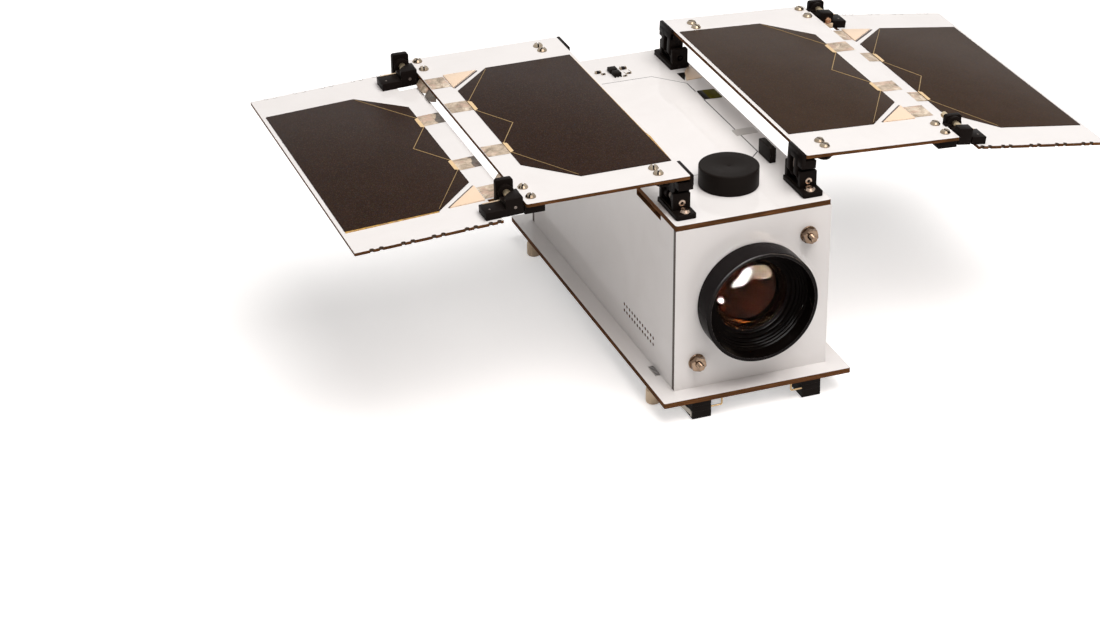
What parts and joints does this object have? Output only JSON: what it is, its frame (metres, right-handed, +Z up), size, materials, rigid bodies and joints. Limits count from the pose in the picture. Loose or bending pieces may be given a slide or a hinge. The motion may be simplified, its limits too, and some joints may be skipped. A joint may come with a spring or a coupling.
{
  "type": "two-unit pocket satellite with fold-out solar wings",
  "caption": "Small box-shaped satellite with a camera lens in its front end, a wide base plate and folding solar wings on both sides.",
  "frame": {"origin": "centre of the bounding box's underside, on the plane the feet stand on", "axes": "+Z up; the lens looks along -Y; +X to the right seen from the lens end looking towards +Y"},
  "size_m": [0.2287, 0.1296, 0.0757],
  "materials": {
    "white_board": "white solder mask over brown laminate",
    "solar_cell": "dark cell under cover glass",
    "black_plastic": "printed black plastic",
    "black_metal": "satin black anodised",
    "steel": "plain steel",
    "brass": "brass",
    "lens_glass": "coated glass",
    "beige_plastic": "beige nylon",
    "inner_mass": "boards and battery",
    "black_case": "moulded black"
  },
  "bodies": {
    "body": {"base_plate": "white_board", "top_panel": "white_board", "left_side_panel": "white_board", "right_side_panel": "white_board", "front_panel": "white_board", "rear_panel": "white_board", "board_stack": "inner_mass", "upper_rod": "steel", "lower_rod": "steel", "lens_hood": "black_metal", "lens_barrel": "black_metal", "lens_glass": "lens_glass", "round_knob": "black_plastic", "sensor_block": "black_case", "front_left_foot": "beige_plastic", "front_right_foot": "beige_plastic", "rear_left_foot": "beige_plastic", "rear_right_foot": "beige_plastic", "left_switch_case": "black_case", "right_switch_case": "black_case", "left_front_hinge_housing": "black_plastic", "left_front_hinge_pin": "steel", "left_rear_hinge_housing": "black_plastic", "left_rear_hinge_pin": "steel", "right_front_hinge_housing": "black_plastic", "right_front_hinge_pin": "steel", "right_rear_hinge_housing": "black_plastic", "right_rear_hinge_pin": "steel"},
    "left_inner_wing": {"left_inner_panel": "white_board", "left_inner_cell": "solar_cell", "left_front_hinge_leaf": "black_plastic", "left_front_wing_inner_leaf": "black_plastic", "left_front_wing_pin": "brass", "left_rear_hinge_leaf": "black_plastic", "left_rear_wing_inner_leaf": "black_plastic", "left_rear_wing_pin": "brass"},
    "left_outer_wing": {"left_outer_panel": "white_board", "left_outer_cell": "solar_cell", "left_front_wing_outer_leaf": "black_plastic", "left_rear_wing_outer_leaf": "black_plastic"},
    "right_inner_wing": {"right_inner_panel": "white_board", "right_inner_cell": "solar_cell", "right_front_hinge_leaf": "black_plastic", "right_front_wing_inner_leaf": "black_plastic", "right_front_wing_pin": "brass", "right_rear_hinge_leaf": "black_plastic", "right_rear_wing_inner_leaf": "black_plastic", "right_rear_wing_pin": "brass"},
    "right_outer_wing": {"right_outer_panel": "white_board", "right_outer_cell": "solar_cell", "right_front_wing_outer_leaf": "black_plastic", "right_rear_wing_outer_leaf": "black_plastic"},
    "left_lever": {"left_switch_lever": "steel"},
    "right_lever": {"right_switch_lever": "steel"}
  },
  "joints": [
    {"name": "left_wing_fold", "type": "hinge", "parent": "body", "child": "left_inner_wing", "pos_m": [-0.0193, -0.04565, 0.0634], "axis": [0, -1, 0], "range_deg": [0, 89.9], "stiffness_Nm_per_rad": 0.02, "springref_deg": -85.94},
    {"name": "left_tip_fold", "type": "hinge", "parent": "left_inner_wing", "child": "left_outer_wing", "pos_m": [-0.06842, -0.04765, 0.07211], "axis": [0, 1, 0], "range_deg": [0, 183], "stiffness_Nm_per_rad": 0.004, "springref_deg": -85.94},
    {"name": "right_wing_fold", "type": "hinge", "parent": "body", "child": "right_inner_wing", "pos_m": [0.0193, -0.04565, 0.0634], "axis": [0, 1, 0], "range_deg": [0, 87], "stiffness_Nm_per_rad": 0.02, "springref_deg": -85.94},
    {"name": "right_tip_fold", "type": "hinge", "parent": "right_inner_wing", "child": "right_outer_wing", "pos_m": [0.06879, -0.04765, 0.06962], "axis": [0, -1, 0], "range_deg": [0, 185], "stiffness_Nm_per_rad": 0.004, "springref_deg": -85.94},
    {"name": "left_switch_press", "type": "hinge", "parent": "body", "child": "left_lever", "pos_m": [-0.01955, -0.0611, 0.0014], "axis": [0, 0, -1], "range_deg": [0, 6], "stiffness_Nm_per_rad": 0.004, "springref_deg": -17.19},
    {"name": "right_switch_press", "type": "hinge", "parent": "body", "child": "right_lever", "pos_m": [0.01955, -0.0611, 0.0014], "axis": [0, 0, 1], "range_deg": [0, 6], "stiffness_Nm_per_rad": 0.004, "springref_deg": -17.19}
  ],
  "couplings": [
    {"joint": "left_tip_fold", "follows": "left_wing_fold", "ratio": 2.0345},
    {"joint": "right_tip_fold", "follows": "right_wing_fold", "ratio": 2.1253}
  ]
}
